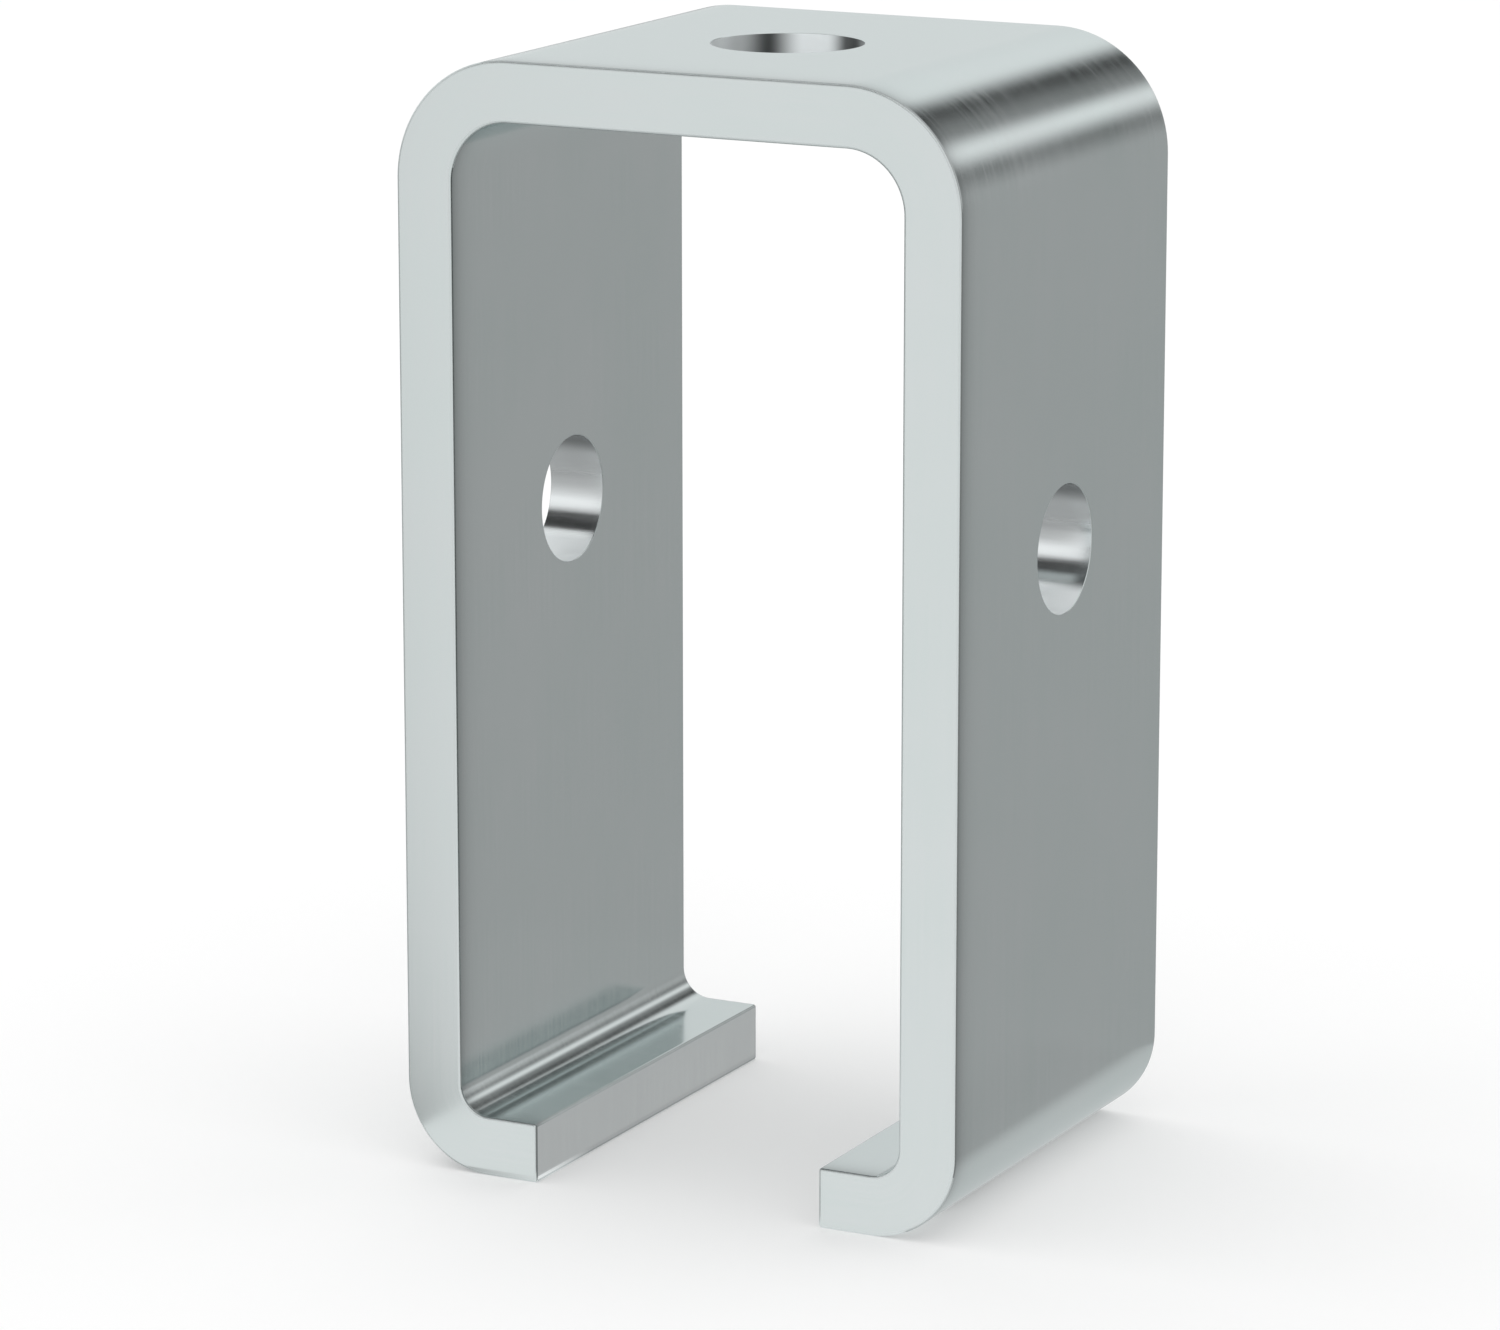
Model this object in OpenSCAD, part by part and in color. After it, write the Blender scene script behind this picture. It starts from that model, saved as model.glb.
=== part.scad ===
// Strut channel hanger bracket: one flat steel bar, bent to an open-bottomed box.
// A threaded rod hangs the top plate, two legs drop from it, and a short lip turned in
// at the foot of each leg carries the load. A cross bolt can go through both legs.
// Millimetres. X runs across the legs, Y from front to back and Z up, with the origin
// centred under the lips.

/* [Flat bar] */
// Thickness of the bar
bar_t = 6.35; // [4:0.05:8]
// Width of the bar, which is the bracket's depth from front to back
bar_w = 50.8; // [30:0.1:80]
// Rounding of the bar's four long edges
edge_r = 0.3; // [0.2:0.05:1.2]

/* [Bent shape] */
// Clear width between the legs
inside_w = 50.8; // [44:0.1:80]
// Height from the underside of the lips to the top face
overall_h = 117.5; // [95:0.5:180]
// How far each lip reaches in from the inner face of its leg
lip_reach = 9; // [7:0.1:14]
// Inside radius of the two bends beside the top plate
top_bend_r = 6.35; // [3:0.05:10]
// Inside radius of the two bends that turn the lips in
lip_bend_r = 3.2; // [1.5:0.05:5]

/* [Holes] */
// Diameter of the hanger rod's hole, in the middle of the top plate
rod_hole_d = 15.9; // [9:0.1:24]
// Diameter of the cross bolt's hole, through both legs
bolt_hole_d = 13.5; // [7:0.1:20]
// Distance of the cross bolt's axis below the top face
bolt_drop = 50; // [32:0.5:70]

/* [Edge breaks] */
// Bevel round the rims of the holes
rim_bevel = 0.2; // [0.1:0.05:1]
// Bevel round the sheared end of each lip
end_bevel = 0.3; // [0.1:0.05:1]

/* [Hidden] */
$fn = 96;

// Segments of the small roundings along the bar's edges
edge_fn = 32;
// How far a cut runs past the face it opens
past = 1;

leg_in_x = inside_w / 2;
leg_out_x = leg_in_x + bar_t;
bolt_z = overall_h - bolt_drop;

// Centres of the bends
top_bend_x = leg_in_x - top_bend_r;
top_bend_z = overall_h - bar_t - top_bend_r;
lip_bend_x = leg_in_x - lip_bend_r;
lip_bend_z = bar_t + lip_bend_r;

// Straight lengths between the bends
plate_l = 2 * top_bend_x;
leg_l = top_bend_z - lip_bend_z;
lip_tip_x = leg_in_x - lip_reach;
lip_l = lip_bend_x - lip_tip_x;

// Cross section of the bar: X from the bracket's inner side to its outer side, Y centred
module bar_section() {
    square_x = bar_t - 2 * edge_r;
    square_y = bar_w - 2 * edge_r;
    translate([0, -square_y / 2]) square([bar_t, square_y]);
    translate([edge_r, -bar_w / 2]) square([square_x, bar_w]);
    for (x = [edge_r, bar_t - edge_r], y = [-square_y / 2, square_y / 2])
        translate([x, y]) circle(r = edge_r, $fn = edge_fn);
}

// Straight stretch of bar along +Z
module straight(length) {
    linear_extrude(height = length) bar_section();
}

// Quarter bend about the Y axis, from the +X side up to the +Z side
module quarter_bend(inside_r) {
    rotate([90, 0, 0])
        rotate_extrude(angle = 90)
            translate([inside_r, 0]) bar_section();
}

// Outline of a bar end seen square on: it runs to +X, and both corners at x = 0 are bevelled
module bevelled_end(length, across) {
    polygon([
        [0, end_bevel - across / 2], [end_bevel, -across / 2],
        [length, -across / 2], [length, across / 2],
        [end_bevel, across / 2], [0, across / 2 - end_bevel]
    ]);
}

// Lip's flat stretch along +X, with its sheared end at x = 0 and its underside at z = 0
module lip() {
    intersection() {
        translate([0, 0, bar_t]) rotate([0, 90, 0]) straight(lip_l);
        linear_extrude(height = bar_t) bevelled_end(lip_l, bar_w);
        translate([0, bar_w / 2, bar_t / 2])
            rotate([90, 0, 0]) linear_extrude(height = bar_w) bevelled_end(lip_l, bar_t);
    }
}

// Right-hand side: top bend, leg, lip bend and lip
module side() {
    translate([top_bend_x, 0, top_bend_z]) quarter_bend(top_bend_r);
    translate([leg_in_x, 0, lip_bend_z]) straight(leg_l);
    translate([lip_bend_x, 0, lip_bend_z]) rotate([0, 90, 0]) quarter_bend(lip_bend_r);
    translate([lip_tip_x, 0, 0]) lip();
}

// Flat stretch of the top plate, between the top bends
module top_plate() {
    translate([top_bend_x, 0, overall_h - bar_t]) rotate([0, -90, 0]) straight(plate_l);
}

// Drill for one wall along +Z, from z = 0 to the wall's far face, with bevelled rims
module drill(d, wall) {
    translate([0, 0, -past]) cylinder(d = d, h = wall + 2 * past);
    for (flip = [0, 1])
        translate([0, 0, flip * wall]) mirror([0, 0, flip])
            translate([0, 0, -past])
                cylinder(d1 = d + 2 * (rim_bevel + past), d2 = d, h = rim_bevel + past);
}

module hanger_bracket() {
    color([0.80, 0.83, 0.83])
        difference() {
            union() {
                top_plate();
                side();
                mirror([1, 0, 0]) side();
            }
            translate([0, 0, overall_h - bar_t]) drill(rod_hole_d, bar_t);
            for (x = [-leg_out_x, leg_in_x])
                translate([x, 0, bolt_z]) rotate([0, 90, 0]) drill(bolt_hole_d, bar_t);
        }
}

hanger_bracket();
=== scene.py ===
"""Strut channel hanger bracket: one flat bar, bent, punched and zinc plated, in a plain pale studio."""

import math

import bpy
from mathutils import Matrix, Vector


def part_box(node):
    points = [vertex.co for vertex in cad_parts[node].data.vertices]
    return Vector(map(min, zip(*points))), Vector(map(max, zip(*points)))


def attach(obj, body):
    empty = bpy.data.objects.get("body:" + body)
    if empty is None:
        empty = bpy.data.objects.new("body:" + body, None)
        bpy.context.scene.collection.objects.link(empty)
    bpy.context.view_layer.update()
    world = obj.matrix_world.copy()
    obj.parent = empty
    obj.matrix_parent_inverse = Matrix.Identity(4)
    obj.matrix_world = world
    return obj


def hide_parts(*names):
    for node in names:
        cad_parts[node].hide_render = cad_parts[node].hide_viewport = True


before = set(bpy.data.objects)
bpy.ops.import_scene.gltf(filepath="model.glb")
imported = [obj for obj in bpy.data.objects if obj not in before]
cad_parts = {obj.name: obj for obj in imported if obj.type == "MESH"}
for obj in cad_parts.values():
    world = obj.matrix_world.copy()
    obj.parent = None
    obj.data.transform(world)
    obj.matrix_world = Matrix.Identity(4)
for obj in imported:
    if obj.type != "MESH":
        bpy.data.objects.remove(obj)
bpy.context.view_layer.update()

# Sizes in metres. X runs across the legs, Y from front to back and Z up.
node_low, node_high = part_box("hanger_bracket")
BAR_WIDE = node_high.y - node_low.y
OVERALL_WIDE = node_high.x - node_low.x
OVERALL_HIGH = node_high.z
BAR_THICK = 0.00635
LIP_REACH = 0.009
TOP_BEND = 0.00635
LIP_BEND = 0.0032
ROD_HOLE = 0.0159
BOLT_HOLE = 0.0135
BOLT_DROP = 0.050
EDGE_ROUND = 0.0003
RIM_ROUND = 0.00007
END_ROUND = 0.0003

# Where the bar turns: its legs' inner faces, the centres of its bends, the tips of its lips
LEG_IN_X = OVERALL_WIDE / 2 - BAR_THICK
BOLT_Z = OVERALL_HIGH - BOLT_DROP
TOP_BEND_X = LEG_IN_X - TOP_BEND
TOP_BEND_Z = OVERALL_HIGH - BAR_THICK - TOP_BEND
LIP_BEND_X = LEG_IN_X - LIP_BEND
LIP_BEND_Z = BAR_THICK + LIP_BEND
LIP_TIP_X = LEG_IN_X - LIP_REACH

# How finely round things are drawn, and how near two places are the same
BEND_STEPS = 28
HOLE_STEPS = 96
ROUNDING_STEPS = 4
NEAR = 1e-5
# Edges that turn by less than this are shaded smooth
SMOOTH_BELOW = math.radians(40)
QUARTER_TURN = math.pi / 2


# Modelling helpers

def start_clean():
    """Nothing selected, so that an operator acts only on what is made next."""
    bpy.ops.object.select_all(action="DESELECT")
    bpy.context.view_layer.objects.active = None


def choose(piece):
    """Makes the piece the one selected, active object."""
    start_clean()
    piece.select_set(True)
    bpy.context.view_layer.objects.active = piece


def settle(piece):
    """Puts the piece's place, turn and scale into its mesh."""
    choose(piece)
    bpy.ops.object.transform_apply(location=True, rotation=True, scale=True)


# The bar, drawn in one run from the end of the right lip to the end of the left one

def run_on(x=0.0, z=0.0):
    """A straight stretch of bar from the selected end."""
    bpy.ops.mesh.extrude_region_move(TRANSFORM_OT_translate={"value": (x, 0, z)})


def turn(x, z):
    """A quarter bend of the selected end about an axis along Y, the way the bar runs."""
    bpy.ops.mesh.spin(
        steps=BEND_STEPS, dupli=False, angle=QUARTER_TURN, center=(x, 0, z), axis=(0, 1, 0)
    )


def bend_bar():
    """The whole bar, from its section at the right lip's end, with square edges and no holes."""
    start_clean()
    bpy.ops.mesh.primitive_plane_add(
        size=1, location=(LIP_TIP_X, 0, BAR_THICK / 2), rotation=(0, QUARTER_TURN, 0)
    )
    bar = bpy.context.object
    bar.name = "bent_bar"
    bar.scale = (BAR_THICK, BAR_WIDE, 1)
    settle(bar)
    lip = LIP_BEND_X - LIP_TIP_X
    leg = TOP_BEND_Z - LIP_BEND_Z
    bpy.ops.object.mode_set(mode="EDIT")
    bpy.ops.mesh.select_mode(type="FACE")
    bpy.ops.mesh.select_all(action="SELECT")
    run_on(x=lip)
    turn(LIP_BEND_X, LIP_BEND_Z)
    run_on(z=leg)
    turn(TOP_BEND_X, TOP_BEND_Z)
    run_on(x=-2 * TOP_BEND_X)
    turn(-TOP_BEND_X, TOP_BEND_Z)
    run_on(z=-leg)
    turn(-LIP_BEND_X, LIP_BEND_Z)
    run_on(x=lip)
    bpy.ops.mesh.select_all(action="SELECT")
    bpy.ops.mesh.remove_doubles(threshold=NEAR)
    bpy.ops.mesh.normals_make_consistent(inside=False)
    bpy.ops.object.mode_set(mode="OBJECT")
    return bar


def punch(bar, across, place, rotation, depth):
    """Cuts a round hole right through the bar's walls at that place."""
    start_clean()
    bpy.ops.mesh.primitive_cylinder_add(
        vertices=HOLE_STEPS, radius=across / 2, depth=depth, location=place, rotation=rotation
    )
    tool = bpy.context.object
    settle(tool)
    choose(bar)
    cut = bar.modifiers.new("punch", "BOOLEAN")
    cut.operation = "DIFFERENCE"
    cut.solver = "EXACT"
    cut.object = tool
    bpy.ops.object.modifier_apply(modifier=cut.name)
    bpy.data.objects.remove(tool)


def on_rim(edge, points):
    """Is this edge part of a hole's rim, on a flat face of the bar?"""
    a, b = (points[i].co for i in edge.vertices)
    for centre, axis, across in (
        (Vector((0, 0, 0)), 2, ROD_HOLE), (Vector((0, 0, BOLT_Z)), 0, BOLT_HOLE)
    ):
        flat = [i for i in range(3) if i != axis]
        level = abs(a[axis] - b[axis]) < NEAR
        out = [math.hypot(*(p[i] - centre[i] for i in flat)) for p in (a, b)]
        if level and all(abs(r - across / 2) < NEAR for r in out):
            return True
    return False


def round_edges(bar):
    """Rounds the bar's long edges, its sheared ends and its holes' rims, each by its own radius."""
    mesh = bar.data
    weights = mesh.attributes.new("bevel_weight_edge", "FLOAT", "EDGE")
    for edge in mesh.edges:
        a, b = (mesh.vertices[i].co for i in edge.vertices)
        middle = (a + b) / 2
        along_side = abs(abs(a.y) - BAR_WIDE / 2) < NEAR and abs(a.y - b.y) < NEAR
        crosses_wall = along_side and wall_depth(a) != wall_depth(b)
        on_end = abs(abs(a.x) - LIP_TIP_X) < NEAR and abs(a.x - b.x) < NEAR
        if on_end and middle.z < BAR_THICK + NEAR:
            weights.data[edge.index].value = END_ROUND / EDGE_ROUND
        elif along_side and not crosses_wall:
            weights.data[edge.index].value = 1.0
        elif on_rim(edge, mesh.vertices):
            weights.data[edge.index].value = RIM_ROUND / EDGE_ROUND
    choose(bar)
    round_off = bar.modifiers.new("round_off", "BEVEL")
    round_off.limit_method = "WEIGHT"
    round_off.width = EDGE_ROUND
    round_off.segments = ROUNDING_STEPS
    round_off.use_clamp_overlap = False
    bpy.ops.object.modifier_apply(modifier=round_off.name)
    bpy.ops.object.shade_smooth_by_angle(angle=SMOOTH_BELOW)
    even = bar.modifiers.new("even_shading", "WEIGHTED_NORMAL")
    even.keep_sharp = True
    even.weight = 100
    bpy.ops.object.modifier_apply(modifier=even.name)


def run_and_depth(x, z):
    """How far along the bar a place is from the middle of the top plate, and how deep in its wall."""
    side = math.copysign(1.0, x)
    x = abs(x)
    top_mid = TOP_BEND + BAR_THICK / 2
    lip_mid = LIP_BEND + BAR_THICK / 2
    to_leg = TOP_BEND_X + QUARTER_TURN * top_mid
    to_lip_bend = to_leg + TOP_BEND_Z - LIP_BEND_Z
    to_lip = to_lip_bend + QUARTER_TURN * lip_mid
    if z > TOP_BEND_Z and x > TOP_BEND_X:
        out, up = x - TOP_BEND_X, z - TOP_BEND_Z
        run, depth = TOP_BEND_X + math.atan2(out, up) * top_mid, math.hypot(out, up) - TOP_BEND
    elif z > TOP_BEND_Z:
        run, depth = x, z - (OVERALL_HIGH - BAR_THICK)
    elif z > LIP_BEND_Z:
        run, depth = to_leg + TOP_BEND_Z - z, x - LEG_IN_X
    elif x > LIP_BEND_X:
        out, down = x - LIP_BEND_X, LIP_BEND_Z - z
        run, depth = to_lip_bend + math.atan2(down, out) * lip_mid, math.hypot(out, down) - LIP_BEND
    else:
        run, depth = to_lip + LIP_BEND_X - x, BAR_THICK - z
    return side * run, depth


def wall_depth(point):
    """Which side of the bar a corner of its section is on: 0 inside, 1 outside."""
    return round(run_and_depth(point.x, point.z)[1] / BAR_THICK)


def lay_grain(bar):
    """Stores where each point lay on the flat bar before bending, for the rolling marks to follow."""
    mesh = bar.data
    grain = mesh.attributes.new("flat_bar", "FLOAT_VECTOR", "POINT")
    for point, place in zip(mesh.vertices, grain.data):
        run, depth = run_and_depth(point.co.x, point.co.z)
        place.vector = (run, point.co.y, depth)


# Finishes

class Finish:
    """A material's or world's node tree, with short ways to add and link nodes."""

    def __init__(self, owner):
        owner.use_nodes = True
        self.owner = owner
        self.tree = owner.node_tree
        self.tree.nodes.clear()

    def add(self, kind, **values):
        node = self.tree.nodes.new(kind)
        for name, value in values.items():
            setattr(node, name, value)
        return node

    def link(self, out, into):
        self.tree.links.new(out, into)

    def end(self, shader):
        out = self.add("ShaderNodeOutputMaterial")
        self.link(shader, out.inputs["Surface"])
        return self.owner


# Where most of a noise lies, which spread() widens
NOISE_LOW = 0.3
NOISE_HIGH = 0.7


def new_finish(name):
    """An empty material of that name."""
    return Finish(bpy.data.materials.new(name))


def noise(finish, vector, scale, detail, rough):
    """A cloudy value with that many clouds to a metre, of finer and finer detail."""
    node = finish.add("ShaderNodeTexNoise")
    node.inputs["Scale"].default_value = scale
    node.inputs["Detail"].default_value = detail
    node.inputs["Roughness"].default_value = rough
    finish.link(vector, node.inputs["Vector"])
    return node.outputs["Fac"]


def spread(finish, value, low, high):
    """Turns a noise into a range of its own."""
    node = finish.add("ShaderNodeMapRange")
    node.inputs["From Min"].default_value = NOISE_LOW
    node.inputs["From Max"].default_value = NOISE_HIGH
    node.inputs["To Min"].default_value = low
    node.inputs["To Max"].default_value = high
    finish.link(value, node.inputs["Value"])
    return node.outputs["Result"]


def stretched(finish, vector, scale):
    """A place scaled by its own number along each axis."""
    node = finish.add("ShaderNodeMapping")
    node.inputs["Scale"].default_value = scale
    finish.link(vector, node.inputs["Vector"])
    return node.outputs["Vector"]


def math_node(finish, operation, a, b=0.0):
    """A sum with a and b, each a number or another node's value."""
    node = finish.add("ShaderNodeMath", operation=operation)
    for value, into in zip((a, b), node.inputs):
        if isinstance(value, (int, float)):
            into.default_value = value
        else:
            finish.link(value, into)
    return node.outputs["Value"]


def greys(finish, value, tones, first, last):
    """A grey for a value between first and last, with a soft change from tone to tone of a list."""
    node = finish.add("ShaderNodeValToRGB")
    node.color_ramp.interpolation = "EASE"
    share = math_node(finish, "DIVIDE", math_node(finish, "SUBTRACT", value, first), last - first)
    finish.link(share, node.inputs["Fac"])
    stops = node.color_ramp.elements
    stops.remove(stops[1])
    for place, tone in tones[1:]:
        stops.new((place - first) / (last - first))
    for stop, (place, tone) in zip(stops, tones):
        stop.position = (place - first) / (last - first)
        stop.color = (tone, tone, tone, 1)
    return node.outputs["Color"]


def grey_by_angle(finish, across, up, tones):
    """A grey for the angle in degrees from across towards up."""
    radians = math_node(finish, "ARCTAN2", up, across)
    degrees = math_node(finish, "MULTIPLY", radians, math.degrees(1))
    return greys(finish, degrees, tones, -180, 180)


# Colours of the plating: on rolled faces, seen at a glancing angle, on torn metal, and a near-white copy
# for the holes' walls, lightened as painted light
ZINC = (0.652, 0.690, 0.692, 1.0)
ZINC_DULL = (0.604, 0.668, 0.660, 1.0)
ZINC_GLANCING = (0.955, 1.00, 1.00, 1.0)
TORN_ZINC = (0.860, 0.890, 0.890, 1.0)
TORN_ZINC_DULL = (0.800, 0.830, 0.835, 1.0)
# Painted light: the holes' walls get a lighter copy of the zinc, so they render bright where light falls
# into the holes
HOLE_ZINC_LIGHTENED = (0.930, 0.968, 0.975, 1.0)
HOLE_ZINC_LIGHTENED_DULL = (0.895, 0.935, 0.945, 1.0)

# On the walls of the bolt holes, by height over the bolt's axis: how bright and how metallic they are.
# The brightness is painted light: painted shade over the top half and in a narrow dip below the middle,
# with the foot left brightest
BOLT_WALL_PAINTED_SHADE = [
    (-0.00675, 1.00), (-0.0053, 1.00), (-0.0042, 0.66), (-0.0036, 0.90), (0.0008, 0.90),
    (0.0022, 0.60), (0.0034, 0.60), (0.0055, 0.22), (0.00675, 0.20),
]
BOLT_WALL_METAL = [
    (-0.00675, 0.00), (-0.0055, 0.00), (-0.0043, 1.00), (0.0008, 1.00), (0.0022, 0.15), (0.00675, 0.15),
]
# On the wall of the rod hole, by angle from +X by +Y: how bright the plating is, as painted reflection
# and painted shade in light and dark bands round the wall
ROD_WALL_PAINTED_REFLECTION = [
    (-180, 0.70), (-120, 1.00), (-40, 1.00), (35, 0.30), (55, 0.05), (66, 0.10), (86, 1.00),
    (104, 1.00), (131, 0.05), (155, 0.54), (180, 0.70),
]

# Painted shade: a darker line drawn along the bar's front edge on its broad faces, standing in for shade
# beside the front outline; its depth, and where it has halved
PAINTED_LINE_DEPTH = 0.48
PAINTED_LINE_HALF = 0.001

# How many clouds and pits the plating has to a metre, how deep the pits are beside the rolling
# marks, and how high both stand
CLOUDS = 55.0
PITS = 1400.0
PIT_SHARE = 0.5
RELIEF_HIGH = 0.00002

# Marks to a metre along the bar, across it and into its wall: of rolling, and of a punch or shears
ALONG_BAR = (45.0, 2600.0, 2600.0)
THROUGH_WALL = (2200.0, 2200.0, 120.0)

# The bar's materials, in their order on the mesh
ROLLED, EDGE, ROUNDED, SHEARED, BOLT_WALL, ROD_WALL = range(6)
# A face is on a lip's end where its normal is nearly along X, and counts as turned down or to the
# left where the normal goes further that way than this
NEARLY_ALONG = 0.99
TURNED_DOWN_OR_LEFT = -0.2
HALF_ROUND = math.sin(math.pi / 4)


def front_edge_painted_shade(finish, place):
    """Painted shade: how much of its brightness the plating keeps at each distance behind the bar's
    front edge; the back edge has none.
    """
    across = finish.add("ShaderNodeSeparateXYZ")
    finish.link(place, across.inputs["Vector"])
    behind = math_node(finish, "ADD", across.outputs["Y"], BAR_WIDE / 2)
    fade = math_node(finish, "POWER", 0.5, math_node(finish, "DIVIDE", behind, PAINTED_LINE_HALF))
    return math_node(finish, "SUBTRACT", 1.0, math_node(finish, "MULTIPLY", fade, PAINTED_LINE_DEPTH))


def up_bolt_wall(finish, place, tones):
    """A grey by height on the wall of a bolt hole."""
    across = finish.add("ShaderNodeSeparateXYZ")
    finish.link(place, across.inputs["Vector"])
    height = math_node(finish, "SUBTRACT", across.outputs["Z"], BOLT_Z)
    return greys(finish, height, tones, -BOLT_HOLE / 2, BOLT_HOLE / 2)


def bolt_wall_painted_shade(finish, place):
    """Painted shade: the bolt hole's wall is drawn darker over the top half of the hole and in a narrow
    band below the middle, and brightest at the foot.
    """
    return up_bolt_wall(finish, place, BOLT_WALL_PAINTED_SHADE)


def bolt_wall_metal(finish, place):
    """The plating there is burnished in a band half way up, and matt at the foot and the top."""
    return up_bolt_wall(finish, place, BOLT_WALL_METAL)


def rod_wall_painted_reflection(finish, place):
    """Painted reflection: light and dark bands drawn down the rod hole's wall, one after the other round
    it.
    """
    across = finish.add("ShaderNodeSeparateXYZ")
    finish.link(place, across.inputs["Vector"])
    return grey_by_angle(finish, across.outputs["X"], across.outputs["Y"], ROD_WALL_PAINTED_REFLECTION)


def zinc_plate(
    name, light, dull, rough, rough_spread, grain_scale, relief, painted_light=None, metal_share=1.0
):
    """Bright zinc plate: cool grey metal, faint clouds in it and the bar's own marks under it.

    painted_light gives how much of its brightness the plating keeps from place to place: painted shade,
    painted highlight or painted reflection drawn into the colour.
    metal_share is how metallic it is: a number, or a function of the place like painted_light.
    """
    finish = new_finish(name)
    place = finish.add("ShaderNodeTexCoord").outputs["Object"]
    flat = finish.add("ShaderNodeAttribute", attribute_name="flat_bar").outputs["Vector"]
    clouds = noise(finish, place, CLOUDS, detail=4.0, rough=0.6)
    marks = noise(finish, stretched(finish, flat, grain_scale), 1.0, detail=4.0, rough=0.6)
    pits = noise(finish, place, PITS, detail=2.0, rough=0.6)

    tone = finish.add("ShaderNodeMix", data_type="RGBA")
    tone.inputs["A"].default_value = dull
    tone.inputs["B"].default_value = light
    cloudy = spread(finish, clouds, 0.25, 0.75)
    marked = spread(finish, marks, -0.1, 0.3)
    finish.link(math_node(finish, "ADD", cloudy, marked), tone.inputs["Factor"])
    colour = tone.outputs["Result"]
    # Painted light: the colour is scaled by painted shade, highlight or reflection
    if painted_light is not None:
        painted_colour = finish.add("ShaderNodeVectorMath", operation="SCALE")
        finish.link(colour, painted_colour.inputs["Vector"])
        finish.link(painted_light(finish, place), painted_colour.inputs["Scale"])
        colour = painted_colour.outputs["Vector"]

    brushed = spread(finish, marks, rough, rough + rough_spread)
    gloss = math_node(finish, "ADD", brushed, spread(finish, clouds, 0.0, 0.05))
    height = math_node(finish, "ADD", marks, math_node(finish, "MULTIPLY", pits, PIT_SHARE))
    bump = finish.add("ShaderNodeBump")
    bump.inputs["Strength"].default_value = relief
    bump.inputs["Distance"].default_value = RELIEF_HIGH
    finish.link(height, bump.inputs["Height"])

    metal = finish.add("ShaderNodeBsdfPrincipled")
    metal.inputs["Specular Tint"].default_value = ZINC_GLANCING
    if callable(metal_share):
        finish.link(metal_share(finish, place), metal.inputs["Metallic"])
    else:
        metal.inputs["Metallic"].default_value = metal_share
    finish.link(colour, metal.inputs["Base Color"])
    finish.link(gloss, metal.inputs["Roughness"])
    finish.link(bump.outputs["Normal"], metal.inputs["Normal"])
    return finish.end(metal.outputs["BSDF"])


def finish_bar(bar):
    """Rolled broad faces, the bar's flat and rounded edges, the lips' sheared ends, the holes' walls."""
    bar.data.materials.clear()
    rolled = (ZINC, ZINC_DULL)
    torn = (TORN_ZINC, TORN_ZINC_DULL)
    lightened_hole_zinc = (HOLE_ZINC_LIGHTENED, HOLE_ZINC_LIGHTENED_DULL)
    bolt_wall = (bolt_wall_painted_shade, bolt_wall_metal)
    for material in (
        # The rolled faces carry the painted shade along the bar's front edge
        zinc_plate("zinc_on_rolled_faces", *rolled, 0.11, 0.06, ALONG_BAR, 0.10, front_edge_painted_shade),
        zinc_plate("zinc_on_bar_edges", *rolled, 0.12, 0.06, ALONG_BAR, 0.10),
        zinc_plate("zinc_on_rounded_edges", *rolled, 0.38, 0.06, ALONG_BAR, 0.10),
        zinc_plate("zinc_on_sheared_ends", *torn, 0.15, 0.06, THROUGH_WALL, 0.12),
        # The bolt holes' walls carry painted shade and painted light by height
        zinc_plate("zinc_in_bolt_holes", *lightened_hole_zinc, 0.13, 0.06, THROUGH_WALL, 0.12, *bolt_wall),
        # The rod hole's wall carries painted reflection bands
        zinc_plate("zinc_in_rod_hole", *lightened_hole_zinc, 0.30, 0.10, THROUGH_WALL, 0.12, rod_wall_painted_reflection, 0.15),
    ):
        bar.data.materials.append(material)
    for face in bar.data.polygons:
        c = face.center
        turned = face.normal
        to_front_or_back = abs(turned.y)
        on_rounding = NEAR < to_front_or_back <= 1 - NEAR
        down_or_left = min(turned.x, turned.z) < TURNED_DOWN_OR_LEFT
        if abs(turned.x) > NEARLY_ALONG and abs(abs(c.x) - LIP_TIP_X) < NEAR:
            face.material_index = SHEARED
        elif abs(turned.x) < NEAR and math.hypot(c.y, c.z - BOLT_Z) < BOLT_HOLE / 2 + NEAR:
            face.material_index = BOLT_WALL
        elif abs(turned.z) < NEAR and math.hypot(c.x, c.y) < ROD_HOLE / 2 + NEAR:
            face.material_index = ROD_WALL
        elif to_front_or_back > 1 - NEAR:
            face.material_index = EDGE
        elif on_rounding and (down_or_left or to_front_or_back > HALF_ROUND):
            face.material_index = ROUNDED
        else:
            face.material_index = ROLLED


bar = bend_bar()
punch(bar, ROD_HOLE, (0, 0, OVERALL_HIGH), (0, 0, 0), 4 * BAR_THICK)
punch(bar, BOLT_HOLE, (0, 0, BOLT_Z), (0, QUARTER_TURN, 0), 2 * OVERALL_WIDE)
round_edges(bar)
lay_grain(bar)
finish_bar(bar)
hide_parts("hanger_bracket")
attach(bar, "root")


# Studio: a pale floor in a white room, one softbox, and the grey cards that the metal mirrors

FLOOR_SIZE = 16
FLOOR_GREY = (0.80, 0.80, 0.80, 1.0)
# How much the eye sees the floor lifted towards the white behind it
FLOOR_LIFT = 0.20


def glow(finish, colour=None, strength=None):
    """Even light of a colour, both white and of strength 1 unless they are given."""
    node = finish.add("ShaderNodeEmission")
    if colour is not None:
        finish.link(colour, node.inputs["Color"])
    if strength is not None:
        finish.link(strength, node.inputs["Strength"])
    return node.outputs["Emission"]


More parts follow.
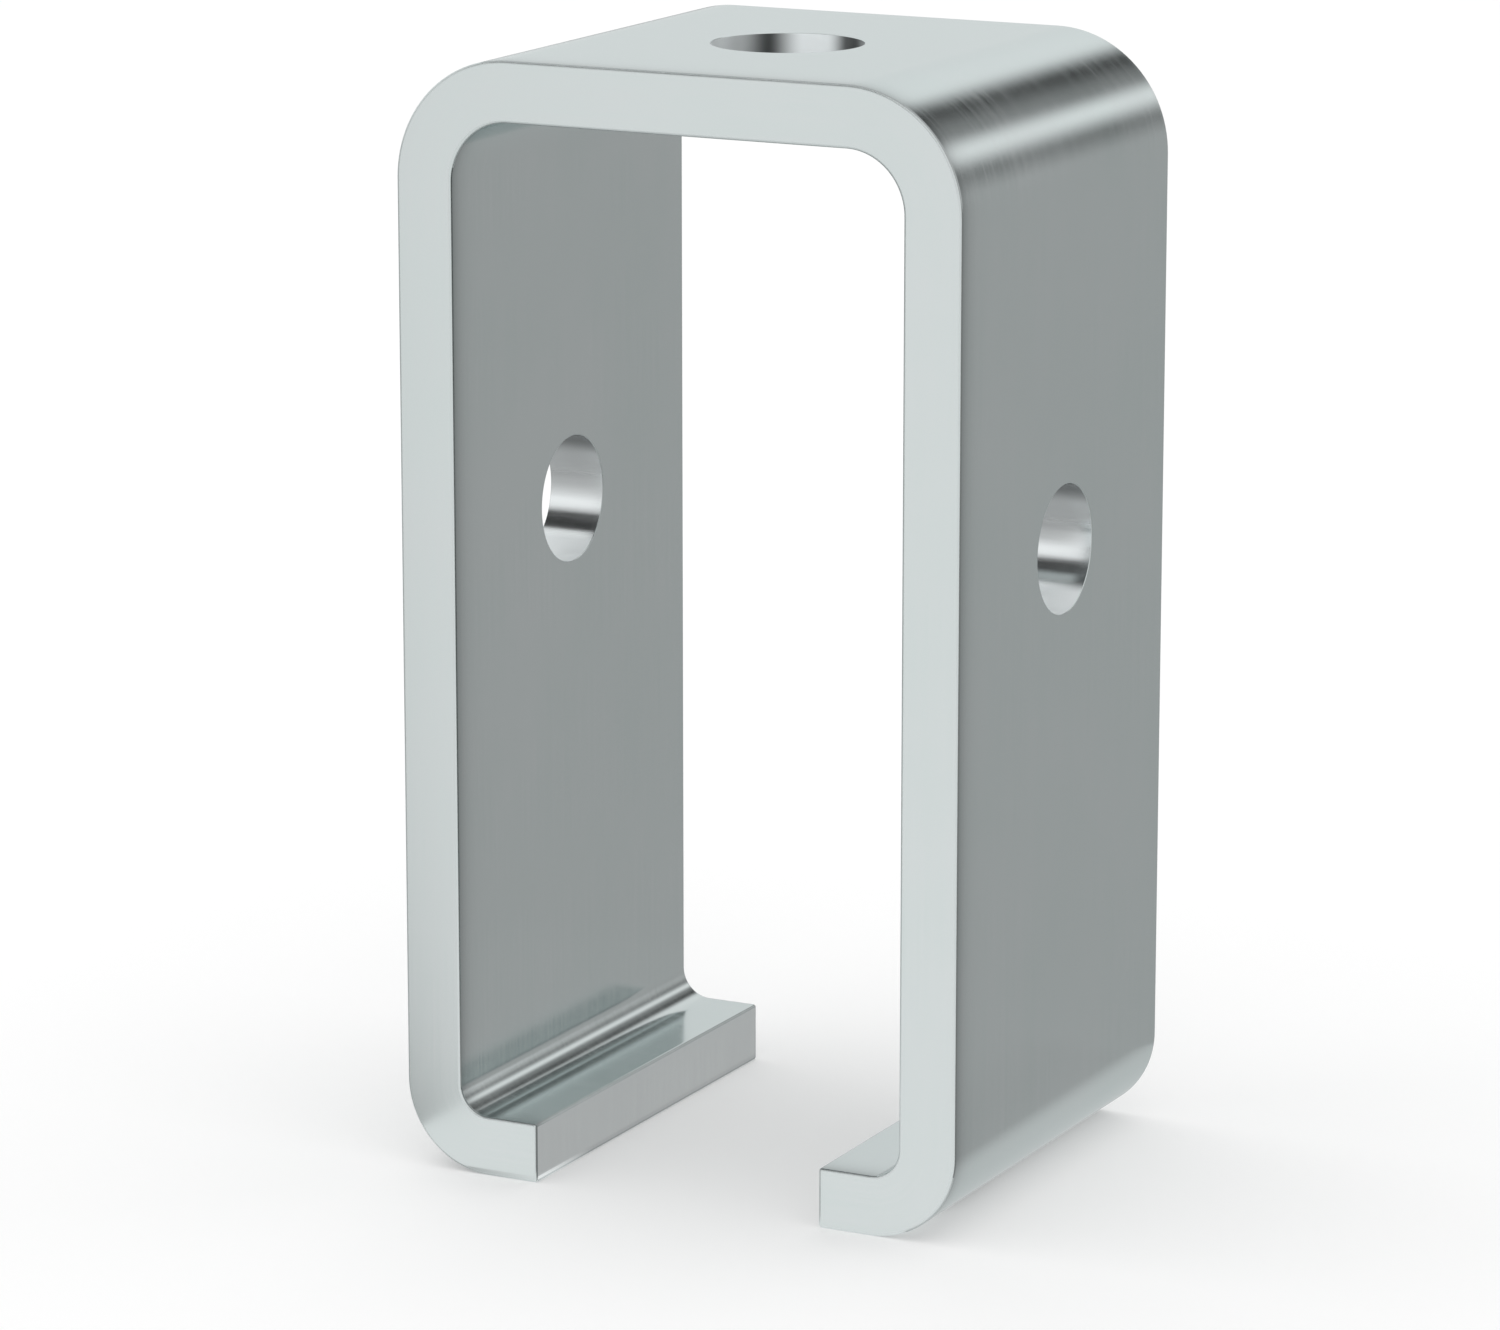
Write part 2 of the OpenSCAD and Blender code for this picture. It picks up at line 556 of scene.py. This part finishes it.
def pale_floor():
    """A floor that the eye sees pale, with the bracket's shadow, and the metal as a ring of greys."""
    start_clean()
    bpy.ops.mesh.primitive_plane_add(size=FLOOR_SIZE, location=(0, 0, 0))
    floor = bpy.context.object
    floor.name = "pale_floor"
    finish = new_finish("pale_floor")
    path = finish.add("ShaderNodeLightPath")
    by_camera, through_glass = path.outputs["Is Camera Ray"], path.outputs["Is Transmission Ray"]
    seen = math_node(finish, "MAXIMUM", by_camera, through_glass)
    paint = finish.add("ShaderNodeBsdfDiffuse")
    paint.inputs["Color"].default_value = FLOOR_GREY
    lift = glow(finish, strength=math_node(finish, "MULTIPLY", seen, FLOOR_LIFT))
    both = finish.add("ShaderNodeAddShader")
    finish.link(paint.outputs["BSDF"], both.inputs[0])
    finish.link(lift, both.inputs[1])

    place = finish.add("ShaderNodeSeparateXYZ")
    finish.link(finish.add("ShaderNodeTexCoord").outputs["Object"], place.inputs["Vector"])
    ring = glow(finish, grey_by_angle(finish, place.outputs["X"], place.outputs["Y"], FLOOR_RING))
    by_eye = finish.add("ShaderNodeMixShader")
    finish.link(path.outputs["Is Glossy Ray"], by_eye.inputs["Fac"])
    finish.link(both.outputs["Shader"], by_eye.inputs[1])
    finish.link(ring, by_eye.inputs[2])

    facing = finish.add("ShaderNodeNewGeometry")
    clear = finish.add("ShaderNodeBsdfTransparent")
    from_above = finish.add("ShaderNodeMixShader")
    finish.link(facing.outputs["Backfacing"], from_above.inputs["Fac"])
    finish.link(by_eye.outputs["Shader"], from_above.inputs[1])
    finish.link(clear.outputs["BSDF"], from_above.inputs[2])
    floor.data.materials.append(finish.end(from_above.outputs["Shader"]))


def white_room():
    """The world: plain white all round."""
    world = bpy.data.worlds.new("white_room")
    bpy.context.scene.world = world
    room = Finish(world)
    light = room.add("ShaderNodeBackground")
    light.inputs["Color"].default_value = (1, 1, 1, 1)
    light.inputs["Strength"].default_value = 1.0
    out = room.add("ShaderNodeOutputWorld")
    room.link(light.outputs["Background"], out.inputs["Surface"])


def softbox(name, place, across, watts):
    """A square lamp aimed at the bracket's middle, which the metal doesn't mirror."""
    start_clean()
    bpy.ops.object.light_add(type="AREA", location=place)
    lamp = bpy.context.object
    lamp.name = name
    lamp.data.shape = "SQUARE"
    lamp.data.size = across
    lamp.data.energy = watts
    lamp.rotation_mode = "QUATERNION"
    aim = Vector((0, 0, OVERALL_HIGH / 2)) - lamp.location
    lamp.rotation_quaternion = aim.to_track_quat("-Z", "Y")
    lamp.visible_glossy = False


def card(name, low, high, tones, along="ANGLE"):
    """A card that only the metal sees, from corner low to corner high.

    It is one grey, or has greys by angle round the right-hand top bend or along X or Z.
    """
    start_clean()
    low, high = Vector(low), Vector(high)
    bpy.ops.mesh.primitive_cube_add(size=1, location=(low + high) / 2)
    panel = bpy.context.object
    panel.name = name
    panel.scale = high - low
    settle(panel)
    finish = new_finish(name)
    if isinstance(tones, float):
        shader = glow(finish)
        shader.node.inputs["Color"].default_value = (tones, tones, tones, 1)
    else:
        place = finish.add("ShaderNodeSeparateXYZ")
        finish.link(finish.add("ShaderNodeTexCoord").outputs["Object"], place.inputs["Vector"])
        if along == "ANGLE":
            across = math_node(finish, "SUBTRACT", place.outputs["X"], TOP_BEND_X)
            up = math_node(finish, "SUBTRACT", place.outputs["Z"], TOP_BEND_Z)
            grey = grey_by_angle(finish, across, up, tones)
        else:
            grey = greys(finish, place.outputs[along], tones, tones[0][0], tones[-1][0])
        shader = glow(finish, grey)
    panel.data.materials.append(finish.end(shader))
    for rays in ("camera", "diffuse", "transmission", "shadow", "volume_scatter"):
        setattr(panel, "visible_" + rays, False)


# Greys by angle. On the floor they go round the bracket from its right-hand side (0) by its back (90).
FLOOR_RING = [
    (-180, 0.40), (-144, 0.40), (-118, 1.00), (-38, 1.00), (-22, 0.36), (8, 0.45), (95, 0.45),
    (120, 0.41), (180, 0.40),
]
# On the cards behind and before it they go round the right-hand top bend, from level (0) by
# straight up (90).
BEHIND = [
    (-15, 0.45), (-2, 0.44), (19, 0.24), (40, 1.00), (59, 0.26), (83, 0.05), (108, 0.92), (162, 0.80),
]
BEFORE = [(-12, 1.00), (70, 0.95), (84, 0.25), (96, 0.25), (110, 0.95), (180, 1.00)]
# Greys across the card on the floor beside the right foot
BESIDE_FOOT = [(0.0262, 0.63), (0.0345, 0.63), (0.0440, 0.43), (0.0540, 0.43)]
# Greys by height on the cards that the walls of the legs' holes mirror: two high in front of the
# bracket, and three close by
HIGH_LEFT = [(0.62, 1.00), (0.86, 0.05), (1.90, 0.03)]
HIGH_RIGHT = [(0.46, 0.95), (0.72, 0.05), (1.90, 0.03)]
BY_LEFT_HOLE = [(0.0, 0.38), (0.048, 0.38), (0.060, 0.48), (0.0725, 0.78)]
BY_RIGHT_HOLE = [(0.0, 0.36), (0.050, 0.36), (0.062, 0.46), (0.0715, 0.78)]

# One-grey cards: over the two high ones in front, at the bracket's feet and between them
TOP_GREY = 0.03
FEET_GREY = 1.0
BETWEEN_GREY = 0.46

pale_floor()
white_room()
# The lamp's place, how wide it is, and its watts
softbox("softbox_left", (-0.38, 0.02, 0.85), 0.5, 0.4)
# Each card's low and high corner, and its greys
card("card_behind", (-0.62, 1.00, 0.0), (0.66, 1.01, 0.75), BEHIND)
card("card_before", (-0.62, -1.01, 0.0), (0.66, -1.00, 0.72), BEFORE)
card("card_front_high_left", (-1.4, -0.92, 0.62), (-0.56, -0.90, 1.90), HIGH_LEFT, "Z")
card("card_front_high_right", (-0.56, -0.92, 0.46), (-0.10, -0.90, 1.90), HIGH_RIGHT, "Z")
card("card_front_top", (-1.6, -0.90, 1.90), (-0.3, -0.52, 1.91), TOP_GREY)
card("card_at_feet", (-0.036, -0.065, 0.0004), (0.036, -0.0262, 0.0008), FEET_GREY)
card("card_beside_foot", (0.0262, -0.026, 0.0004), (0.0540, 0.043, 0.0008), BESIDE_FOOT, "X")
card("card_by_left_hole", (-0.0780, -0.0256, 0.0010), (-0.0350, -0.0254, 0.0725), BY_LEFT_HOLE, "Z")
card("card_by_right_hole", (-0.0163, -0.0256, 0.0010), (0.0163, -0.0254, 0.0715), BY_RIGHT_HOLE, "Z")
card("card_by_left_leg", (-0.0235, -0.0256, 0.0100), (-0.0163, -0.0254, 0.0715), BY_RIGHT_HOLE, "Z")
card("card_between_feet", (-0.0160, -0.0254, 0.0004), (0.0160, 0.060, 0.0008), BETWEEN_GREY)


# Camera at the photograph's place: across, back and above the bracket's footprint
CAMERA_PLACE = (0.28996, -0.57934, 0.20242)
CAMERA_TURN = 0.4700
CAMERA_TILT = 0.22815
CAMERA_LENS = 152.22


def photo_camera():
    """The camera, turned about Z and tilted down, both in radians, with a lens in millimetres."""
    data = bpy.data.cameras.new("photo_camera")
    data.lens = CAMERA_LENS
    data.sensor_width = 36.0
    data.clip_start = 0.01
    camera = bpy.data.objects.new("photo_camera", data)
    bpy.context.scene.collection.objects.link(camera)
    camera.location = CAMERA_PLACE
    camera.rotation_euler = (math.pi / 2 - CAMERA_TILT, 0, CAMERA_TURN)
    bpy.context.scene.camera = camera


photo_camera()
bpy.context.scene.view_settings.view_transform = "Standard"
